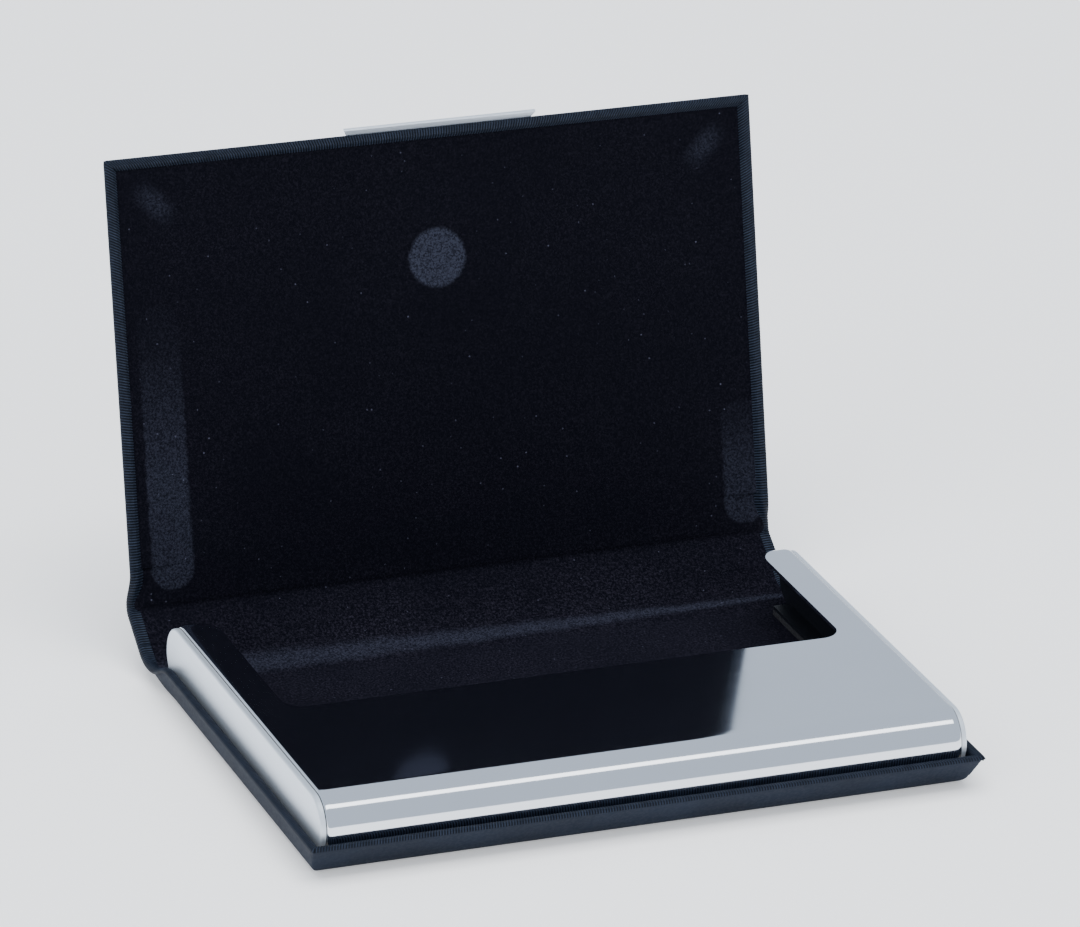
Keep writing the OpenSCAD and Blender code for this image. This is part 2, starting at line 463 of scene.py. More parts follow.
class Signal:
    """A number that changes over a surface. Sums on it add Math nodes."""

    def __init__(self, recipe: "Recipe", socket: bpy.types.NodeSocket) -> None:
        """Wraps a socket of a recipe."""
        self.recipe = recipe
        self.socket = socket

    def maths(self, operation: str, *values: "Signal | float") -> "Signal":
        """Adds one Math node.

        Args:
            operation: the node's operation.
            values: its inputs in order.
        Returns:
            The node's result.
        """
        node = self.recipe.add("ShaderNodeMath", {"operation": operation}, dict(enumerate(values)))
        return Signal(self.recipe, node.outputs[0])

    def __add__(self, other: "Signal | float") -> "Signal":
        """self + other"""
        return self.maths("ADD", self, other)

    __radd__ = __add__

    def __sub__(self, other: "Signal | float") -> "Signal":
        """self - other"""
        return self.maths("SUBTRACT", self, other)

    def __rsub__(self, other: "Signal | float") -> "Signal":
        """other - self"""
        return self.maths("SUBTRACT", other, self)

    def __mul__(self, other: "Signal | float") -> "Signal":
        """self * other"""
        return self.maths("MULTIPLY", self, other)

    __rmul__ = __mul__

    def __truediv__(self, other: "Signal | float") -> "Signal":
        """self / other"""
        return self.maths("DIVIDE", self, other)

    def __abs__(self) -> "Signal":
        """The size of self without its sign."""
        return self.maths("ABSOLUTE", self)

    def above(self, floor: float) -> "Signal":
        """self where it is more than floor, and floor elsewhere."""
        return self.maths("MAXIMUM", self, floor)

    def wave(self) -> "Signal":
        """The sine of self."""
        return self.maths("SINE", self)

    def step(self, low: float, high: float) -> "Signal":
        """A soft step.

        Args:
            low: where it starts to rise.
            high: where it reaches 1.
        Returns:
            A number from 0 to 1.
        """
        node = self.recipe.add(
            "ShaderNodeMapRange",
            {"interpolation_type": "SMOOTHSTEP"},
            {"Value": self, "From Min": low, "From Max": high},
        )
        return Signal(self.recipe, node.outputs["Result"])


class Recipe:
    """A material's nodes while they are being put together."""

    def __init__(self, name: str) -> None:
        """Starts a material of that name with an empty Principled shader."""
        self.material = bpy.data.materials.new(name)
        self.material.use_nodes = True
        self.tree = self.material.node_tree
        self.tree.nodes.clear()
        self.shader = self.add("ShaderNodeBsdfPrincipled")
        out = self.add("ShaderNodeOutputMaterial")
        self.tree.links.new(self.shader.outputs[0], out.inputs["Surface"])

    def add(self, kind: str, settings: dict | None = None, inputs: dict | None = None) -> bpy.types.Node:
        """Adds one node.

        Args:
            kind: the node's type.
            settings: its properties, set first.
            inputs: values, signals or sockets for its inputs, by name or number.
        Returns:
            The node.
        """
        node = self.tree.nodes.new(kind)
        for key, value in (settings or {}).items():
            setattr(node, key, value)
        for key, value in (inputs or {}).items():
            self.feed(node.inputs[key], value)
        return node

    def feed(self, socket: bpy.types.NodeSocket, value: object) -> None:
        """Links a signal or socket to an input, or sets the input's value."""
        if isinstance(value, Signal):
            self.tree.links.new(value.socket, socket)
        elif isinstance(value, bpy.types.NodeSocket):
            self.tree.links.new(value, socket)
        else:
            socket.default_value = value

    def finish(self, **inputs: object) -> bpy.types.Material:
        """Sets the shader's inputs, with _ for the spaces in their names, and gives the material."""
        for key, value in inputs.items():
            self.feed(self.shader.inputs[key.replace("_", " ")], value)
        return self.material

    def place(self) -> bpy.types.NodeSocket:
        """The point on the piece, in metres."""
        return self.add("ShaderNodeTexCoord").outputs["Object"]

    def axes(self, point: bpy.types.NodeSocket) -> tuple[Signal, Signal, Signal]:
        """The three numbers of a point."""
        node = self.add("ShaderNodeSeparateXYZ", None, {0: point})
        return tuple(Signal(self, out) for out in node.outputs)

    def noise(self, point: object, grain: float, detail: float = 2.0, rough: float = 0.5) -> Signal:
        """Cloudy noise.

        Args:
            point: where it is read.
            grain: size of its lumps in metres.
            detail: how many finer layers it has.
            rough: how strong the finer layers are.
        Returns:
            A number about 0.5.
        """
        node = self.add(
            "ShaderNodeTexNoise",
            None,
            {"Vector": point, "Scale": 1 / grain, "Detail": detail, "Roughness": rough},
        )
        return Signal(self, node.outputs[0])

    def streaks(self, point: object, stretch: tuple, detail: float) -> Signal:
        """Noise drawn out into lines.

        Args:
            point: where it is read.
            stretch: how many lumps there are to the metre along each axis.
            detail: how many finer layers it has.
        Returns:
            A number about 0.5.
        """
        drawn = self.add("ShaderNodeMapping", None, {"Vector": point, "Scale": stretch}).outputs[0]
        return self.noise(drawn, 1.0, detail)

    def cells(self, point: object, grain: float, feature: str = "F1") -> Signal:
        """Distance within a pattern of cells.

        Args:
            point: where it is read.
            grain: size of a cell in metres.
            feature: which distance the Voronoi node gives.
        Returns:
            The distance as a share of a cell.
        """
        node = self.add("ShaderNodeTexVoronoi", {"feature": feature}, {"Vector": point, "Scale": 1 / grain})
        return Signal(self, node.outputs["Distance"])

    def colour(self, share: Signal, low: Sequence[float], high: object) -> bpy.types.NodeSocket:
        """A mix of two colours.

        Args:
            share: how much of the second there is.
            low: the first colour, or a colour socket.
            high: the second colour, or a colour socket.
        Returns:
            The mixed colour's socket.
        """
        node = self.add("ShaderNodeMix", {"data_type": "RGBA"}, {0: share})
        for number, value in ((6, low), (7, high)):
            self.feed(node.inputs[number], value if isinstance(value, bpy.types.NodeSocket) else (*value, 1))
        return node.outputs[2]

    def relief(self, height: Signal, depth: float) -> bpy.types.NodeSocket:
        """A bump.

        Args:
            height: the pattern, about 0 to 1.
            depth: its depth in metres.
        Returns:
            The bent normal's socket.
        """
        return self.add(
            "ShaderNodeBump", None, {"Strength": 1.0, "Distance": depth, "Height": height}
        ).outputs[0]


# ---- finishes ----


@dataclass(frozen=True)
class Leatherette:
    """Smooth coated leather cloth with a fine pebble grain."""

    name: str = "dark_leatherette"
    deep: tuple = (0.0060, 0.0098, 0.0190)
    pale: tuple = (0.0100, 0.0155, 0.0290)
    pebble: float = 0.42 * MM
    depth: float = 0.018 * MM

    def make(self) -> bpy.types.Material:
        """Builds the material."""
        r = Recipe(self.name)
        point = r.place()
        grain = r.cells(point, self.pebble, "SMOOTH_F1") + 0.6 * r.noise(point, self.pebble / 3, 3)
        cloud = r.noise(point, 9 * MM, 4)
        tone = r.colour(cloud.step(0.25, 0.8), self.deep, self.pale)
        rough = 0.56 + 0.14 * grain.step(0.3, 1.1) + 0.08 * cloud
        return r.finish(
            Base_Color=tone, Roughness=rough, Specular_IOR_Level=0.14, Normal=r.relief(grain, self.depth)
        )


@dataclass(frozen=True)
class RibbedHem:
    """The turned-in edge, a fine corded cloth whose ribs cross the edge, with painted shade in the grooves
    between the ribs.
    """

    name: str = "ribbed_hem"
    groove_shade: tuple = (0.0015, 0.0022, 0.0045)
    crest: tuple = (0.026, 0.036, 0.060)
    pitch: float = 0.4 * MM

    def make(self) -> bpy.types.Material:
        """Builds the material."""
        r = Recipe(self.name)
        along, across, _ = r.axes(r.add("ShaderNodeUVMap", {"uv_map": "cut"}).outputs[0])
        point = r.place()
        rib = (0.5 + 0.5 * (along * (2 * math.pi / self.pitch) + math.pi / 2).wave())
        thread = 0.5 + 0.5 * (across * (2 * math.pi / (0.16 * MM))).wave()
        wear = r.noise(point, 1.1 * MM, 3)
        # painted shade: the grooves between the ribs are coloured near black
        lit = rib.step(0.35, 0.95) * (0.15 + 1.1 * wear) * (0.8 + 0.2 * thread)
        tone = r.colour(lit, self.groove_shade, self.crest)
        return r.finish(
            Base_Color=tone,
            Roughness=0.62 - 0.1 * wear,
            Specular_IOR_Level=0.12,
            Normal=r.relief(rib * 0.7 + 0.3 * thread, 0.03 * MM),
        )


@dataclass(frozen=True)
class Velvet:
    """Short pile velvet, nearly black, with lint and pressed marks on the lid; painted highlights at the fold
    and lid corners, painted shade on the lid.
    """

    lines: CaseLines
    name: str = "black_velvet"
    deep: tuple = (0.0014, 0.0015, 0.0033)
    pale: tuple = (0.0200, 0.0186, 0.0290)
    lint: tuple = (0.055, 0.057, 0.085)
    # tone of the pressed marks, also used for the painted highlights at the fold and in the lid's corner
    # mitres
    pressed_pile_and_highlight_tone: tuple = (0.0240, 0.0265, 0.0410)
    sheen: float = 0.03
    # painted shade: the share of the floor's pile brightness that the lid's velvet keeps
    lid_painted_shade: float = 0.34
    magnet_up: float = 45.5 * MM
    magnet_radius: float = 4.2 * MM

    @staticmethod
    def patch(x: Signal, u: Signal, middle: Pair, half: Pair, radius: float, soft: float) -> Signal:
        """A patch with round corners.

        Args:
            x: the surface's distance to the right of the middle.
            u: its distance up the lid.
            middle: the patch's middle.
            half: its half width and half length.
            radius: its corner radius.
            soft: how far its edge fades.
        Returns:
            1 inside and 0 outside.
        """
        dx = (abs(x - middle[0]) - (half[0] - radius)).above(0)
        du = (abs(u - middle[1]) - (half[1] - radius)).above(0)
        away = (dx * dx + du * du).maths("SQRT", dx * dx + du * du)
        return 1 - away.step(radius - soft, radius + soft)

    def pressed_marks_and_mitre_highlight(self, r: Recipe, point: bpy.types.NodeSocket, x: Signal, u: Signal) -> Signal:
        """The pressed places on the lid, the magnet's disc and the two arm marks, and a painted highlight in
        each corner mitre.

        Args:
            r: the material's recipe.
            point: the surface's place, for the ragged edges.
            x: its distance to the right of the middle.
            u: its distance up the lid.
        Returns:
            How pale the pile is there, from 0.
        """
        wobble = (r.noise(point, 1.3 * MM, 4, 0.6) - 0.5) * (0.9 * MM)
        radius = self.magnet_radius
        disc = self.patch(x + wobble, u, (0, self.magnet_up), (radius, radius), radius, 0.35 * MM)
        left = self.patch(x + wobble, u, (-42.1 * MM, 22.9 * MM), (3.1 * MM, 20.2 * MM), 2.9 * MM, 0.3 * MM)
        left = left * (1 - 0.92 * u.step(16 * MM, 42 * MM))
        right = self.patch(x + wobble, u, (45.2 * MM, 11 * MM), (3.2 * MM, 9 * MM), 2.9 * MM, 0.3 * MM)
        right = right * (1 - 0.8 * u.step(8 * MM, 20 * MM))
        # painted highlight along each corner mitre, where the lid's puffed margins meet
        side = abs(x) - (self.lines.half_width - 7.2 * MM)
        rise = u - (self.lines.lid_reach - 6.8 * MM)
        along, off = (side + rise) * 0.7, (side - rise) * 0.7
        mitre = (1 - abs(along).step(0.6 * MM, 4.6 * MM)) * (1 - abs(off + wobble).step(0.2 * MM, 2.4 * MM))
        return disc * 0.95 + left * 0.5 + right * 0.42 + mitre * 0.35

    def fold_highlight(self, r: Recipe, point: bpy.types.NodeSocket, x: Signal, v: Signal) -> Signal:
        """A painted highlight band along the fold, broad at the left and thin at the right.

        Args:
            r: the material's recipe.
            point: the surface's place, for the ragged edges.
            x: its distance to the right of the middle.
            v: its distance along the case from the fold.
        Returns:
            How pale the pile is there, from 0.
        """
        wobble = (r.noise(point, 3 * MM, 4, 0.6) - 0.5) * (2.2 * MM)
        share = (x + self.lines.half_width).above(0) / (2 * self.lines.half_width)
        half = 3.1 * MM - share * (2.5 * MM)
        off = abs(v + 0.3 * MM + wobble * (1 - 0.7 * share))
        return (1 - (off / half).step(0.2, 1.4)) * 0.6

    def make(self) -> bpy.types.Material:
        """Builds the material."""
        r = Recipe(self.name)
        point = r.place()
        x, v, _ = r.axes(r.add("ShaderNodeUVMap", {"uv_map": "cut"}).outputs[0])
        pile = r.noise(point, 0.30 * MM, 3, 0.75)
        tuft = r.noise(point, 0.5 * MM, 3)
        swirl = r.noise(point, 13 * MM, 3)
        speck = 1 - r.cells(point, 1.9 * MM).step(0.04, 0.085)
        # painted shade: the pile darkens along the case, from the spine onto the lid
        painted_shade_along = 1 - (1 - self.lid_painted_shade) * v.step(1 * MM, 17 * MM)
        shade = (pile.step(0.44, 0.68) * (0.10 + 0.9 * swirl) + 0.22 * tuft.step(0.45, 0.8)) * painted_shade_along
        # real pressed marks plus painted highlights at the fold and in the lid's corner mitres
        pressed_and_highlight = self.pressed_marks_and_mitre_highlight(r, point, x, v - self.lines.spine_length) + self.fold_highlight(r, point, x, v)
        tone = r.colour(shade, self.deep, self.pale)
        tone = r.colour(pressed_and_highlight * (0.2 + 1.1 * pile.step(0.36, 0.66)), tone, self.pressed_pile_and_highlight_tone)
        tone = r.colour(speck * pile.step(0.42, 0.62), tone, self.lint)
        return r.finish(
            Base_Color=tone,
            Roughness=0.95 - 0.1 * tuft,
            Specular_IOR_Level=0.06,
            Sheen_Weight=self.sheen,
            Sheen_Roughness=0.45,
            Sheen_Tint=(0.42, 0.45, 0.75, 1),
            Normal=r.relief(pile + 0.6 * tuft, 0.06 * MM),
        )


@dataclass(frozen=True)
class PolishedSteel:
    """Mirror-polished stainless steel with hairline wiping marks."""

    name: str = "polished_steel"
    tone: tuple = (0.80, 0.83, 0.88)

    def make(self) -> bpy.types.Material:
        """Builds the material."""
        r = Recipe(self.name)
        point = r.place()
        film = r.noise(point, 16 * MM, 4)
        hair = r.streaks(point, (60, 1600, 1600), 2.0)
        tone = r.colour(film.step(0.3, 0.8) * 0.5, self.tone, tuple(0.95 * c for c in self.tone))
        rough = 0.075 + 0.03 * film.step(0.45, 0.9) + 0.02 * hair.step(0.55, 0.75)
        return r.finish(
            Base_Color=tone, Metallic=1.0, Roughness=rough, Normal=r.relief(hair, 0.0002 * MM)
        )


@dataclass(frozen=True)
class SatinSteel:
    """Fine satin steel of the end pieces and the thumb plate; one copy is near black and not metallic on its
    faces inside the tray.
    """

    name: str = "satin_steel"
    tone: tuple = (0.80, 0.86, 0.93)
    rough: float = 0.42
    metal: float = 0.75
    dark_within: float | None = None
    dark_inside_tone: tuple = (0.006, 0.007, 0.010)

    def make(self) -> bpy.types.Material:
        """Builds the material."""
        r = Recipe(self.name)
        point = r.place()
        line = r.streaks(point, (3000, 140, 3600), 3.0)
        cloud = r.noise(point, 7 * MM, 3)
        tone = r.colour(0.6 * line + 0.4 * cloud, self.tone, tuple(0.9 * c for c in self.tone))
        metal: Signal | float = self.metal
        # faces nearer the middle than the given reach are coloured near black and not metallic
        if self.dark_within is not None:
            inside = 1 - abs(r.axes(point)[0]).step(self.dark_within, self.dark_within + 0.04 * MM)
            tone = r.colour(inside, tone, self.dark_inside_tone)
            metal = self.metal * (1 - inside)
        return r.finish(
            Base_Color=tone,
            Metallic=metal,
            Roughness=self.rough + 0.12 * line,
            Normal=r.relief(line, 0.0012 * MM),
        )


@dataclass(frozen=True)
class PulpBoard:
    """Grey pulp board or card with fibres."""

    name: str
    tone: tuple
    dark: tuple

    def make(self) -> bpy.types.Material:
        """Builds the material."""
        r = Recipe(self.name)
        point = r.place()
        strand = r.streaks(point, (900, 5200, 5200), 3.0)
        fleck = 1 - r.cells(point, 1.4 * MM).step(0.06, 0.16)
        tone = r.colour(strand.step(0.3, 0.7), self.dark, self.tone)
        tone = r.colour(fleck * 0.6, tone, self.dark)
        return r.finish(Base_Color=tone, Roughness=0.9, Normal=r.relief(strand, 0.02 * MM))


@dataclass(frozen=True)
class FoamTape:
    """Charcoal closed-cell foam."""

    name: str = "charcoal_foam"

    def make(self) -> bpy.types.Material:
        """Builds the material."""
        r = Recipe(self.name)
        cell = r.cells(r.place(), 0.3 * MM)
        tone = r.colour(cell.step(0.1, 0.7), (0.010, 0.010, 0.012), (0.028, 0.028, 0.032))
        return r.finish(Base_Color=tone, Roughness=0.85, Normal=r.relief(cell, 0.05 * MM))


@dataclass(frozen=True)
class PlatedMagnet:
    """Nickel-plated magnet face, lightly scuffed."""

    name: str = "plated_magnet"

    def make(self) -> bpy.types.Material:
        """Builds the material."""
        r = Recipe(self.name)
        scuff = r.noise(r.place(), 0.5 * MM, 4, 0.7)
        tone = r.colour(scuff, (0.50, 0.49, 0.47), (0.66, 0.65, 0.62))
        return r.finish(
            Base_Color=tone, Metallic=1.0, Roughness=0.25 + 0.25 * scuff, Normal=r.relief(scuff, 0.004 * MM)
        )


def dress(piece: bpy.types.Object, material: bpy.types.Material, slot: str) -> None:
    """Gives a piece its material and logs the pair."""
    piece.data.materials.clear()
    piece.data.materials.append(material)
    log.info("%s: %s", piece.name, material.name)


# ---- leatherwork ----


@dataclass
class Leatherwork:
    """The leatherette outside of the case and its ribbed hem, in four lengths that meet on flat stretches."""

    lines: CaseLines
    leather: bpy.types.Material
    ribs: bpy.types.Material
    base_seam: float = -8 * MM
    spine_seam: float = 6 * MM
    lid_seam: float = 18.4 * MM
    skin_t: float = 0.45 * MM
    hem_t: float = 0.24 * MM
    half_pitch: float = 0.2 * MM
    rib_height: float = 0.03 * MM
    base_flare_side: float = 1.2 * MM
    base_flare_front: float = 3.6 * MM
    lid_flare: float = 2.2 * MM

    def __post_init__(self) -> None:
        """Works out the four rim sections."""
        g = self.lines
        self.base_side = RimSection(g.half_width, self.base_flare_side, g.base_rim)
        self.base_front = RimSection(g.base_reach, self.base_flare_front, g.base_rim, wall=0.7 * MM)
        self.lid_side = RimSection(g.half_width, self.lid_flare, g.lid_rim)
        self.lid_front = RimSection(g.lid_reach, self.lid_flare, g.lid_rim, wall=0.7 * MM)

    def skin(
        self,
        name: str,
        rim: RimSection,
        rows: Sequence[Pair],
        share: Callable[[float], float],
    ) -> bpy.types.Object:
        """One length of the leatherette outside.

        Args:
            name: the piece's name.
            rim: cross-section of its side rims.
            rows: distances along the case and the height that the end rim has there.
            share: how far the side rims have risen at a distance along the case.
        Returns:
            The piece, without a body.
        """
        edge = rim.skin(8, 6)
        inner = [(x, 0.0) for x in spread(0, edge[0][0], 22)[:-1]]
        right = inner + edge
        columns = [(-x, z) for x, z in reversed(right)] + right[1:]

        def place(column: int, row: int) -> Vector:
            """Where a crossing of the skin lies."""
            x, side = columns[column]
            v, end = rows[row]
            height = min(rim.height, soft_greater(side * share(v), end, 9))
            return self.lines.place(x, v, height)

        piece = shaped_sheet(name, len(columns) - 1, len(rows) - 1, place, turn_over=True)
        thicken(piece, self.skin_t)
        dress(piece, self.leather, "leatherette")
        return piece

    def end_rows(self, start: float, rim: RimSection, sign: float, origin: float) -> list[Pair]:
        """Rows of a skin from a seam to its end rim.

        Args:
            start: the seam's distance along the case.
            rim: cross-section of the end rim.
            sign: +1 where the case goes on in that direction, -1 towards the front.
            origin: the distance along the case of the panel's fold.
        Returns:
            Distances and end rim heights, in order along the case.
        """
        edge = [(origin + sign * reach, z) for reach, z in rim.skin(8, 6)]
        flat = [(v, 0.0) for v in spread(start, edge[0][0], 36)[:-1]]
        rows = flat + edge
        return rows if sign > 0 else rows[::-1]

    def ribbed(self, profile: Sequence[Pair], index: int, ring: int) -> Vector:
        """A point of the hem's outline, raised on every other ring.

        Args:
            profile: the outline.
            index: which of its points.
            ring: which ring along the hem.
        Returns:
            The point as reach and height.
        """
        before = Vector(profile[max(index - 1, 0)])
        after = Vector(profile[min(index + 1, len(profile) - 1)])
        along = (after - before).normalized()
        fade = smooth_step(index, 1, 4)
        lift = self.rib_height * fade * (1 if ring % 2 == 0 else -1)
        return Vector(profile[index]) + Vector((along.y, -along.x)) * lift

    def framing_hem(
        self, name: str, side: RimSection, end: RimSection, seam: float, sign: float, origin: float
    ) -> bpy.types.Object:
        """The hem round three edges of a panel, mitred at its two corners.

        Args:
            name: the piece's name.
            side: cross-section of the side rims.
            end: cross-section of the end rim.
            seam: distance along the case where the hem starts.
            sign: +1 where the panel goes on in that direction, -1 towards the front.
            origin: the distance along the case of the panel's fold.
        Returns:
            The piece, without a body.
        """
        sides, ends = side.hem(1), end.hem(1)
        up = 2 * round(abs(origin + sign * end.reach - seam) / self.half_pitch / 2)
        over = 2 * round(2 * side.reach / self.half_pitch / 2)
        rings = 2 * up + over

        def stretch(index: int, ring: int) -> tuple[float, float, float]:
            """Sideways place, place along the case and height of a crossing."""
            if ring <= up or ring >= up + over:
                which = -1 if ring <= up else 1
                t = ring / up if ring <= up else (rings - ring) / up
                point = self.ribbed(sides, index, ring)
                top = origin + sign * ends[index][0]
                return which * point.x, seam + (top - seam) * t, point.y
            t = (ring - up) / over
            point = self.ribbed(ends, index, ring)
            return sides[index][0] * (2 * t - 1), origin + sign * point.x, point.y

        lengths = [0.0]
        for a, b in zip(sides, sides[1:]):
            lengths.append(lengths[-1] + math.dist(a, b))
        piece = shaped_sheet(
            name,
            len(sides) - 1,
            rings,
            lambda column, row: self.lines.place(*stretch(column, row)),
            turn_over=sign > 0,
            chart=lambda column, row: (row * self.half_pitch, lengths[column]),
        )
        thicken(piece, self.hem_t)
        dress(piece, self.ribs, "leatherette")
        return piece

    def straight_hem(
        self, name: str, rim: RimSection, side: Side, low: float, high: float, share: Callable[[float], float]
    ) -> bpy.types.Object:
        """The hem along one side, past a fold.

        Args:
            name: the piece's name.
            rim: cross-section of the side rim.
            side: which side of the case.
            low: distance along the case where it starts.
            high: distance along the case where it ends.
            share: how far the rim has risen at a distance along the case.
        Returns:
            The piece, without a body or parent.
        """
        rings = round((high - low) / self.half_pitch)
        places = spread(low, high, rings)
        outlines = [rim.hem(share(v)) for v in places]

        def place(column: int, row: int) -> Vector:
            """Where a crossing of the hem lies."""
            point = self.ribbed(outlines[row], column, row)
            return self.lines.place(side.value * point.x, places[row], point.y)

        piece = shaped_sheet(
            name,
            len(outlines[0]) - 1,
            rings,
            place,
            turn_over=side is Side.LEFT,
            chart=lambda column, row: (row * self.half_pitch, column * 0.2 * MM),
        )
        thicken(piece, self.hem_t)
        dress(piece, self.ribs, "leatherette")
        return piece

    def build(self) -> None:
        """Makes all the leatherwork and attaches the base's and lid's pieces to their bodies."""
        g = self.lines
        flat = 2 * g.half_width
        base_skin = self.skin(
            "base_skin",
            self.base_side,
            self.end_rows(self.base_seam, self.base_front, -1, 0.0),
            lambda v: 1.0,
        )
        base_hem = self.framing_hem("base_hem", self.base_side, self.base_front, self.base_seam, -1, 0.0)
        for piece in (base_skin, base_hem):
            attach(piece, Body.BASE.value)
        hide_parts("base_cover")
        flat + 6 * MM
        g.base_reach + self.base_seam + 3 * MM
        lid_skin = self.skin(
            "lid_skin",
            self.lid_side,
            self.end_rows(self.lid_seam, self.lid_front, 1, g.spine_length),
            lambda v: 1.0,
        )
        lid_hem = self.framing_hem("lid_hem", self.lid_side, self.lid_front, self.lid_seam, 1, g.spine_length)
        for piece in (lid_skin, lid_hem):
            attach(piece, Body.LID.value)
        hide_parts("lid_cover")
        flat + 1.4 * MM
        g.spine_length + g.lid_reach - self.lid_seam + MM
        self.fold_length(
            "spine_skin_lower", self.base_side, self.base_seam, self.spine_seam, g.base_share,
            (-4.5 * MM, 4.5 * MM),
        )
        self.fold_length(
            "spine_skin_upper", self.lid_side, self.spine_seam, self.lid_seam, g.lid_share,
            (g.spine_length - 2 * MM, g.spine_length + 2 * MM),
        )

    def fold_length(
        self,
        name: str,
        rim: RimSection,
        low: float,
        high: float,
        share: Callable[[float], float],
        bend: Pair,
    ) -> None:
        """A length of skin with its two hems that bends across a fold.

        Args:
            name: the skin's name.
            rim: cross-section of its side rims.
            low: distance along the case where it starts.
            high: distance along the case where it ends.
            share: how far the side rims have risen at a distance along the case.
            bend: distances along the case round the fold; not used.
        """
        rows = [(v, 0.0) for v in spread(low, high, round((high - low) / (0.25 * MM)))]
        skin = self.skin(name, rim, rows, share)
        hems = [
            self.straight_hem(f"{name}_hem_{side.name.lower()}", rim, side, low, high, share) for side in Side
        ]
        start, end = (self.lines.place(0, v, self.lines.fold[1]) for v in bend)
        for piece in (skin, *hems):
            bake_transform(piece)
            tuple(start)
            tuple(end)
        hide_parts("spine_cover")
        2 * self.lines.half_width
        high - low + 0.4 * MM


# ---- velvet ----


@dataclass
class VelvetLining:
    """The velvet inside the case."""

    lines: CaseLines
    leatherwork: Leatherwork
    velvet: bpy.types.Material
    base_height: float = 1.2 * MM
    spine_height: float = 0.92 * MM
    lid_height: float = 1.36 * MM
    thickness: float = 0.25 * MM
    puff: float = 0.34 * MM
    puff_width: float = 7.5 * MM
    floor_rear: float = -5.2 * MM
    wall_foot: float = 0.9 * MM
    turned_up: float = 4.6 * MM

    def height(self, v: float) -> float:
        """Height of the velvet above the outer face, at a distance along the case."""
        g = self.lines
        rise = smooth_step(v, -1 * MM, 2.4 * MM)
        low = self.base_height + (self.spine_height - self.base_height) * rise
        return low + (self.lid_height - low) * smooth_step(v - g.spine_length, -1.5 * MM, 1.5 * MM)

    def floor(self) -> bpy.types.Object:
        """The flat velvet on the base, between the tray's flange and the fold."""
        low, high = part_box("base_lining")
        rows = spread(low.y - self.lines.fold[0], self.floor_rear, 60)
        half = high.x

        def place(column: int, row: int) -> Vector:
            """Where a crossing of the floor lies."""
            return self.lines.place(half * (column / 40 - 1), rows[row], self.base_height)

        piece = shaped_sheet(
            "base_velvet", 80, len(rows) - 1, place,
            chart=lambda column, row: (half * (column / 40 - 1), rows[row]),
        )
        thicken(piece, self.thickness)
        dress(piece, self.velvet, "velvet")
        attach(piece, Body.BASE.value)
        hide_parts("base_lining")
        return piece

    def wall(self) -> bpy.types.Object:
        """The velvet that stands inside the base's rim, from the floor to the hem."""
        side, end = self.leatherwork.base_side, self.leatherwork.base_front
        outlines = []
        for rim in (side, end):
            slope = rim.slope()
            foot = rim.reach - rim.flare + self.wall_foot / math.tan(slope) - rim.wall / math.sin(slope)
            foot += 0.24 * MM
            top = rim.lining_edge(1, 0.3)
            outlines.append(
                curve_points((foot - 1.2 * MM, self.wall_foot), (foot, self.wall_foot), tuple(
                    a + (b - a) * 0.35 for a, b in zip((foot, self.wall_foot), top)), 5) + [top]
            )
        sides, ends = outlines
        seam = self.floor_rear
        up, over = 60, 90
        rings = 2 * up + over

        def place(column: int, row: int) -> Vector:
            """Where a crossing of the wall lies."""
            reach, height = sides[column]
            front = -ends[column][0]
            if row <= up:
                return self.lines.place(-reach, seam + (front - seam) * row / up, height)
            if row >= up + over:
                return self.lines.place(reach, seam + (front - seam) * (rings - row) / up, height)
            t = (row - up) / over
            return self.lines.place(reach * (2 * t - 1), front, ends[column][1])

        piece = shaped_sheet(
            "base_wall_velvet", len(sides) - 1, rings, place,
            chart=lambda column, row: (row * MM, (column - 40) * MM),
        )
        thicken(piece, 0.05 * MM)
        dress(piece, self.velvet, "velvet")
        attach(piece, Body.BASE.value)
        return piece

    def fold(self, name: str, rim: RimSection, low: float, high: float, share: Callable[[float], float],
             down: Callable[[float], float], bodies: tuple[Body, Body], bend: Pair) -> bpy.types.Object:
        """A length of velvet that bends across a fold.

        Args:
            name: the piece's name.
            rim: cross-section of the side rims.
            low: distance along the case where it starts.
            high: distance along the case where it ends.
            share: how far the side rims have risen at a distance along the case.
            down: how far down the hem the velvet slips under it, by that share.
            bodies: the two bodies on either side of the fold; not used.
            bend: distances along the case round the fold; not used.
        Returns:
            The piece.
        """
        rows = spread(low, high, round((high - low) / (0.2 * MM)))
        flat_columns, edge_columns = 30, 6
        outlines = []
        for v in rows:
            height = self.height(v)
            edge = rim.lining_edge(share(v), down(share(v)))
            bend_at = (edge[0] - 0.25 * MM, height)
            start = (edge[0] - 1.6 * MM, height)
            flat = [(x, height) for x in spread(0, start[0], flat_columns)[:-1]]
            right = flat + curve_points(start, bend_at, edge, edge_columns)
            outlines.append([(-x, z) for x, z in reversed(right)] + right[1:])

        def place(column: int, row: int) -> Vector:
            """Where a crossing of the velvet lies."""
            x, height = outlines[row][column]
            return self.lines.place(x, rows[row], height)

        piece = shaped_sheet(
            name, len(outlines[0]) - 1, len(rows) - 1, place,
            chart=lambda column, row: (outlines[row][column][0], rows[row]),
        )
        thicken(piece, self.thickness)
        dress(piece, self.velvet, "velvet")
        start, end = (self.lines.place(0, v, self.lines.fold[1]) for v in bend)
        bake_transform(piece)
        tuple(start)
        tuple(end)
        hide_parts("spine_lining")
        2 * rim.reach
        high - low
        return piece

    def lid(self) -> bpy.types.Object:
        """The velvet on the lid, puffed a little before it slips under the hem."""
        work, g = self.leatherwork, self.lines
        side_edge = work.lid_side.lining_edge(1, 0.2)
        end_edge = work.lid_front.lining_edge(1, 0.2)
        start = self.leatherwork.lid_seam

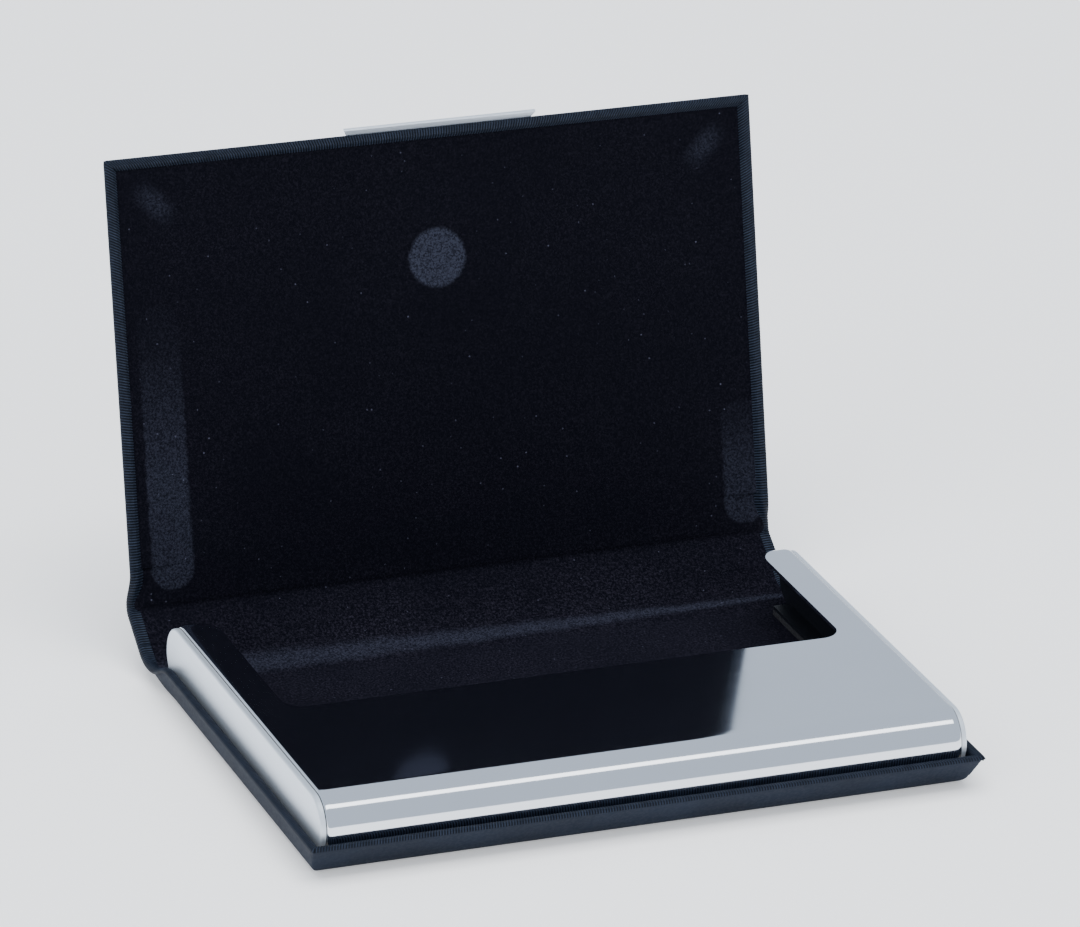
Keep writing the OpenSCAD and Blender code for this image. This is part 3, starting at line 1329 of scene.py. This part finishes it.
        def stations(first: float, edge: float, flat_steps: int) -> list[float]:
            """Places from the middle or the seam to the hem, closer together near the hem."""
            soft = edge - self.puff_width
            return spread(first, soft, flat_steps)[:-1] + spread(soft, edge, 26)

        columns = stations(0, side_edge[0], 26)
        columns = [-x for x in reversed(columns)] + columns[1:]
        rows = stations(start - g.spine_length, end_edge[0], 34)

        def rise(reach: float, edge: float) -> float:
            """How far the puffed margin has risen."""
            return self.puff * smooth_step(reach, edge - self.puff_width, edge - 1.3 * MM)

        def dip(reach: float, edge: Pair) -> float:
            """How far the margin has fallen again where it meets the hem."""
            full = self.lid_height + self.puff - edge[1]
            return full * smooth_step(reach, edge[0] - 1.1 * MM, edge[0])

        def place(column: int, row: int) -> Vector:
            """Where a crossing of the velvet lies."""
            x, u = columns[column], rows[row]
            up = soft_greater(rise(abs(x), side_edge[0]), rise(u, end_edge[0]), 7)
            down = soft_greater(dip(abs(x), side_edge), dip(u, end_edge), 7)
            height = self.lid_height + min(up, self.puff) - min(down, self.lid_height)
            return g.place(x, g.spine_length + u, height)

        piece = shaped_sheet(
            "lid_velvet", len(columns) - 1, len(rows) - 1, place,
            chart=lambda column, row: (columns[column], g.spine_length + rows[row]),
        )
        thicken(piece, 0.05 * MM)
        dress(piece, self.velvet, "velvet")
        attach(piece, Body.LID.value)
        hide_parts("lid_lining")
        2 * side_edge[0]
        rows[-1] - rows[0]
        return piece

    def build(self) -> None:
        """Makes all the velvet."""
        g, work = self.lines, self.leatherwork
        floor, wall = self.floor(), self.wall()
        low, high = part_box("base_lining")
        high.x - low.x + 2 * self.turned_up
        g.fold[0] + self.floor_rear - low.y + self.turned_up
        self.fold(
            "spine_velvet_lower", work.base_side, self.floor_rear, work.spine_seam, g.base_share,
            lambda k: 0.3,
            (Body.BASE, Body.SPINE), (-4.5 * MM, 4.5 * MM),
        )
        self.fold(
            "spine_velvet_upper", work.lid_side, work.spine_seam, work.lid_seam, g.lid_share,
            lambda k: 0.3 - 0.1 * k,
            (Body.SPINE, Body.LID), (g.spine_length - 2 * MM, g.spine_length + 2 * MM),
        )
        self.lid()


# ---- the card tray ----


@dataclass
class CardTray:
    """The bent steel sheet and its two end pieces."""

    steel: bpy.types.Material
    satin: bpy.types.Material
    sheet_t: float = 0.5 * MM
    plate_land: float = 25.3 * MM
    arm_w: float = 4.9 * MM
    cutout_r: float = 3 * MM
    tip_r: float = 3.8 * MM
    flange_l: float = 6.5 * MM
    roll_r: float = 0.95 * MM
    roll_drop: float = 0.3 * MM
    end_round: float = 0.3 * MM
    lip_w: float = 2.6 * MM
    lip_t: float = 0.55 * MM

    def __post_init__(self) -> None:
        """Takes the tray's places from the frame."""
        low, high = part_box("tray_sheet")
        end_low, end_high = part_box("tray_end_right")
        self.radius = (high.z - low.z) / 2
        self.middle = (high.z + low.z) / 2
        self.nose = low.y + self.radius
        self.end_radius = (end_high.z - end_low.z) / 2
        self.tail = end_high.y - self.end_radius
        self.arm_end = high.y
        self.half = high.x
        self.end_x = end_high.x
        self.cut = self.nose + self.plate_land

    def side_view(self) -> list[tuple[float, float, float, float]]:
        """The sheet's outer line from the flange's rear edge round the nose to the arms' ends.

        Returns:
            For each row Y, Z and the outward direction's Y and Z.
        """
        r = self.radius
        rows = [(y, self.middle - r, 0.0, -1.0) for y in spread(self.nose + self.flange_l, self.nose, 6)]
        for a in spread(0, math.pi, 48)[1:]:
            out = (-math.sin(a), -math.cos(a))
            rows.append((self.nose + r * out[0], self.middle + r * out[1], *out))
        rows += [(y, self.middle + r, 0.0, 1.0) for y in spread(self.nose, self.cut, 24)[1:]]
        self.cut_row = len(rows) - 1
        corner = [self.cut + self.cutout_r * (1 - math.cos(a)) for a in spread(0, math.pi / 2, 14)][1:]
        straight = spread(corner[-1], self.arm_end - self.tip_r, 20)[1:]
        tip = [self.arm_end - self.tip_r * (1 - math.sin(a)) for a in spread(0, math.pi / 2, 14)][1:]
        for y in corner + straight + tip:
            past = max(0.0, y - self.tail)
            a = math.asin(past / r)
            out = (math.sin(a), math.cos(a))
            rows.append((y, self.middle + r * out[1], *out))
        return rows

    def arm_inside(self, y: float) -> float:
        """Distance of an arm's inner edge from the middle, at Y."""
        r, edge = self.cutout_r, self.half - self.arm_w
        if y < self.cut + r:
            return edge - r + math.sqrt(max(0.0, r * r - (self.cut + r - y) ** 2))
        r = self.tip_r
        if y > self.arm_end - r:
            return edge + r - math.sqrt(max(0.0, r * r - (y - self.arm_end + r) ** 2))
        return edge

    def sheet(self) -> bpy.types.Object:
        """The bent sheet with its rolled side edges and its cut-out."""
        rows = self.side_view()
        arm, roll, middle = 10, 8, 40
        outer = self.half - self.roll_r
        turns = spread(0, math.pi / 2, roll)[1:]

        def arm_columns(y: float) -> list[Pair]:
            """Columns of the right arm, as reach and depth below the outer line."""
            inside = self.arm_inside(max(y, self.cut))
            flat = [(x, 0.0) for x in spread(inside, outer, arm)]
            return flat + [
                (outer + self.roll_r * math.sin(a), self.roll_drop * (1 - math.cos(a))) for a in turns
            ]

        count = 2 * (arm + roll) + middle
        first, last = arm + roll, arm + roll + middle

        def place(column: int, row: int) -> Vector:
            """Where a crossing of the sheet lies."""
            y, z, out_y, out_z = rows[row]
            columns = arm_columns(y if row > self.cut_row else self.cut)
            if column <= first:
                x, depth = columns[first - column]
                x = -x
            elif column >= last:
                x, depth = columns[column - last]
            else:
                x, depth = columns[0][0] * (2 * (column - first) / middle - 1), 0.0
            return Vector((x, y - out_y * depth, z - out_z * depth))

        piece = shaped_sheet(
            "card_tray",
            count,
            len(rows) - 1,
            place,
            keep=lambda column, row: row < self.cut_row or column < first or column >= last,
        )
        thicken(piece, self.sheet_t)
        soften(piece, 0.07 * MM, 2)
        dress(piece, self.steel, "polished_steel")
        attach(piece, Body.BASE.value)
        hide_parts("tray_sheet")
        return piece

    def end_piece(self, side: Side) -> bpy.types.Object:
        """One end piece: a flat with round ends, eased outside, with its two lips.

        Args:
            side: which end of the tray.
        Returns:
            The piece.
        """
        shape = bmesh.new()
        inner = self.half + 0.02 * MM
        top = shape.verts.new((inner, self.nose, self.middle + self.end_radius))
        for centre_y in (self.nose, self.tail):
            turned = bmesh.ops.spin(
                shape, geom=[top], cent=(inner, centre_y, self.middle), axis=(1, 0, 0), angle=math.pi,
                steps=32, use_merge=False,
            )
            if centre_y == self.nose:
                last = turned["geom_last"][0]
                foot = shape.verts.new((inner, self.tail, self.middle - self.end_radius))
                shape.edges.new((last, foot))
                first, top = top, foot
        last = turned["geom_last"][0]
        shape.edges.new((last, first))
        bmesh.ops.remove_doubles(shape, verts=shape.verts, dist=1e-7)
        face = bmesh.ops.contextual_create(shape, geom=shape.edges)["faces"][0]
        grown = bmesh.ops.extrude_face_region(shape, geom=[face])["geom"]
        outer = [v for v in grown if isinstance(v, bmesh.types.BMVert)]
        bmesh.ops.translate(shape, verts=outer, vec=(self.end_x - inner, 0, 0))
        rim = [e for e in shape.edges if all(v in outer for v in e.verts)]
        bmesh.ops.bevel(
            shape, geom=rim, offset=self.end_round, offset_type="OFFSET", segments=5, profile=0.5,
            affect="EDGES", material=-1,
        )
        bmesh.ops.recalc_face_normals(shape, faces=shape.faces)
        top_z = self.middle + self.radius - self.sheet_t - 0.05 * MM
        low_z = self.middle - self.radius + self.sheet_t + 0.05 * MM
        for low_y, z in (
            (self.nose + self.radius, top_z - self.lip_t),
            (self.nose + self.flange_l + 0.05 * MM, low_z),
        ):
            size = Vector((self.lip_w, self.tail - low_y, self.lip_t))
            middle = Vector((inner - self.lip_w / 2 + 0.01 * MM, (self.tail + low_y) / 2, z + self.lip_t / 2))
            matrix = Matrix.Translation(middle) @ Matrix.Diagonal((*size, 1))
            bmesh.ops.create_cube(shape, size=1, matrix=matrix)
        if side is Side.LEFT:
            bmesh.ops.scale(shape, verts=shape.verts, vec=(-1, 1, 1))
            bmesh.ops.reverse_faces(shape, faces=shape.faces)
        name = f"tray_end_{side.name.lower()}"
        piece = new_piece(f"{name}_cap", shape, 35)
        dress(piece, self.satin, "satin_steel")
        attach(piece, Body.BASE.value)
        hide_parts(name)
        return piece

    def build(self) -> None:
        """Makes the sheet and both end pieces."""
        self.sheet()
        for side in Side:
            self.end_piece(side)


# ---- thumb plate ----


@dataclass
class ThumbPlate:
    """The thin plate outside the lid's front rim that stands past its edge."""

    lines: CaseLines
    rim: RimSection
    satin: bpy.types.Material
    width: float = 29 * MM
    taper: float = 1.5 * MM
    past: float = 0.9 * MM
    thickness: float = 0.5 * MM
    offset: float = 1.2 * MM
    gap: float = 0.05 * MM

    def build(self) -> None:
        """Makes the plate."""
        slope = self.rim.slope()
        flange = self.rim.height / math.sin(slope)
        root, reach = flange / 4, flange + self.past
        g = self.lines
        corner = g.spine_length + self.rim.reach - self.rim.flare

        def place(x: float, up: float, under: float) -> Vector:
            """A point of the plate, from its place up the rim and its depth outside it."""
            v = corner + up * math.cos(slope) + under * math.sin(slope)
            return g.place(x + self.offset, v, up * math.sin(slope) - under * math.cos(slope))

        shape = bmesh.new()
        bmesh.ops.create_grid(shape, x_segments=1, y_segments=1, size=0.5)
        for v in shape.verts:
            top = v.co.y > 0
            half = self.width / 2 - (0 if top else self.taper)
            v.co = place(math.copysign(half, v.co.x), reach if top else root, self.gap)
        grown = bmesh.ops.extrude_face_region(shape, geom=list(shape.faces))["geom"]
        moved = [v for v in grown if isinstance(v, bmesh.types.BMVert)]
        out = place(0, 0, self.thickness) - place(0, 0, 0)
        bmesh.ops.translate(shape, verts=moved, vec=out)
        bmesh.ops.bevel(
            shape, geom=list(shape.edges), offset=0.12 * MM, offset_type="OFFSET", segments=3, profile=0.5,
            affect="EDGES", material=-1,
        )
        bmesh.ops.recalc_face_normals(shape, faces=shape.faces)
        piece = new_piece("thumb_plate", shape, 50)
        dress(piece, self.satin, "satin_steel")
        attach(piece, Body.LID.value)
        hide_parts("clasp_plate")


# ---- inner parts ----


@dataclass
class InnerParts:
    """The boards, card insert, foam tapes and magnet that stay as the frame has them."""

    def build(self) -> None:
        """Gives each of them its material."""
        board = PulpBoard("grey_board", (0.30, 0.28, 0.25), (0.18, 0.165, 0.145)).make()
        card = PulpBoard("card_insert", (0.52, 0.50, 0.45), (0.38, 0.36, 0.32)).make()
        foam = FoamTape().make()
        magnet = PlatedMagnet().make()
        finishes = {
            "base_board": (board, "board"),
            "lid_board": (board, "board"),
            "lid_insert": (card, "card"),
            "foam_tape_front": (foam, "foam"),
            "foam_tape_left": (foam, "foam"),
            "foam_tape_right": (foam, "foam"),
            "magnet": (magnet, "magnet"),
        }
        for name, (material, slot) in finishes.items():
            dress(frame["nodes"][name], material, slot)


# ---- studio ----


@dataclass(frozen=True)
class SoftBox:
    """A large soft lamp."""

    name: str
    place: tuple
    aim: tuple
    size: Pair
    power: float
    mirrored: bool = False

    def build(self) -> None:
        """Hangs the lamp."""
        data = bpy.data.lights.new(self.name, "AREA")
        data.shape = "RECTANGLE"
        data.size, data.size_y = self.size
        data.energy = self.power
        lamp = bpy.data.objects.new(self.name, data)
        lamp.location = self.place
        lamp.rotation_euler = (Vector(self.aim) - Vector(self.place)).to_track_quat("-Z", "Y").to_euler()
        lamp.visible_glossy = self.mirrored
        bpy.context.scene.collection.objects.link(lamp)


@dataclass
class Studio:
    """Floor, light and camera."""

    azimuth: float = -22.163
    elevation: float = 22.775
    roll: float = 2.038
    distance: float = 1025.255 * MM
    target: tuple = (-3.405 * MM, 1.6 * MM, 40.23 * MM)
    focal: float = 7519.1
    sensor: float = 36.0
    sky: tuple = (0.60, 0.68, 0.79)
    sky_strength: float = 1.12

    def floor(self) -> None:
        """A wide pale floor."""
        shape = bmesh.new()
        bmesh.ops.create_grid(shape, x_segments=2, y_segments=2, size=3)
        bmesh.ops.translate(shape, verts=shape.verts, vec=(0, 0, -0.01 * MM))
        piece = new_piece("floor", shape)
        r = Recipe("pale_floor")
        cloud = r.noise(r.place(), 0.6, 2)
        piece.data.materials.append(
            r.finish(Base_Color=r.colour(cloud, (0.90, 0.90, 0.91), (0.93, 0.93, 0.935)), Roughness=0.9,
                     Specular_IOR_Level=0.1, Emission_Color=(1, 1, 1, 1), Emission_Strength=0.3)
        )

    def light(self) -> None:
        """Soft lamps and a pale sky."""
        world = bpy.data.worlds.new("pale_sky")
        bpy.context.scene.world = world
        world.use_nodes = True
        sky = world.node_tree.nodes["Background"]
        sky.inputs["Color"].default_value = (*self.sky, 1)
        sky.inputs["Strength"].default_value = self.sky_strength
        for lamp in (
            SoftBox("overhead_lamp", (0, -0.1, 1.5), (0, 0, 0), (1.6, 1.2), 26),
            SoftBox("strip_lamp", (0, -0.62, 1.6), (0, 0, 0), (1.8, 0.40), 7, mirrored=True),
            SoftBox("left_lamp", (-1.3, -0.7, 0.8), (0, 0, 0.03), (1.0, 1.0), 12),
            SoftBox("front_lamp", (0.5, -1.6, 0.7), (0, 0, 0.03), (1.4, 0.7), 8),
        ):
            lamp.build()

    def camera(self) -> None:
        """The camera, with the roll it had."""
        a, e, turn = (math.radians(x) for x in (self.azimuth, self.elevation, self.roll))
        back = Vector((math.sin(a) * math.cos(e), -math.cos(a) * math.cos(e), math.sin(e)))
        level = Vector((math.cos(a), math.sin(a), 0))
        upright = back.cross(level)
        right = level * math.cos(turn) + upright * math.sin(turn)
        up = -level * math.sin(turn) + upright * math.cos(turn)
        data = bpy.data.cameras.new("camera")
        data.sensor_width = self.sensor
        data.lens = self.focal * self.sensor / IMAGE_WIDTH
        camera = bpy.data.objects.new("camera", data)
        turned = Matrix((right, up, back)).transposed().to_4x4()
        camera.matrix_world = Matrix.Translation(Vector(self.target) + back * self.distance) @ turned
        bpy.context.scene.collection.objects.link(camera)
        bpy.context.scene.camera = camera

    def build(self) -> None:
        """Sets up the whole studio."""
        self.floor()
        self.light()
        self.camera()


def main() -> None:
    logging.basicConfig(level=logging.INFO, format="%(name)s %(message)s")
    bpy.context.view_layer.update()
    lines = read_lines()
    Studio().build()
    leatherwork = Leatherwork(lines, Leatherette().make(), RibbedHem().make())
    leatherwork.build()
    VelvetLining(lines, leatherwork, Velvet(lines).make()).build()
    satin = SatinSteel().make()
    # the end pieces' copy is near black and not metallic on its faces inside the tray
    dark_inside_satin = SatinSteel(name="lacquered_satin_steel", dark_within=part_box("tray_sheet")[1].x + 0.1 * MM).make()
    CardTray(PolishedSteel().make(), dark_inside_satin).build()
    ThumbPlate(lines, leatherwork.lid_front, satin).build()
    InnerParts().build()


if __name__ == "__main__":
    main()
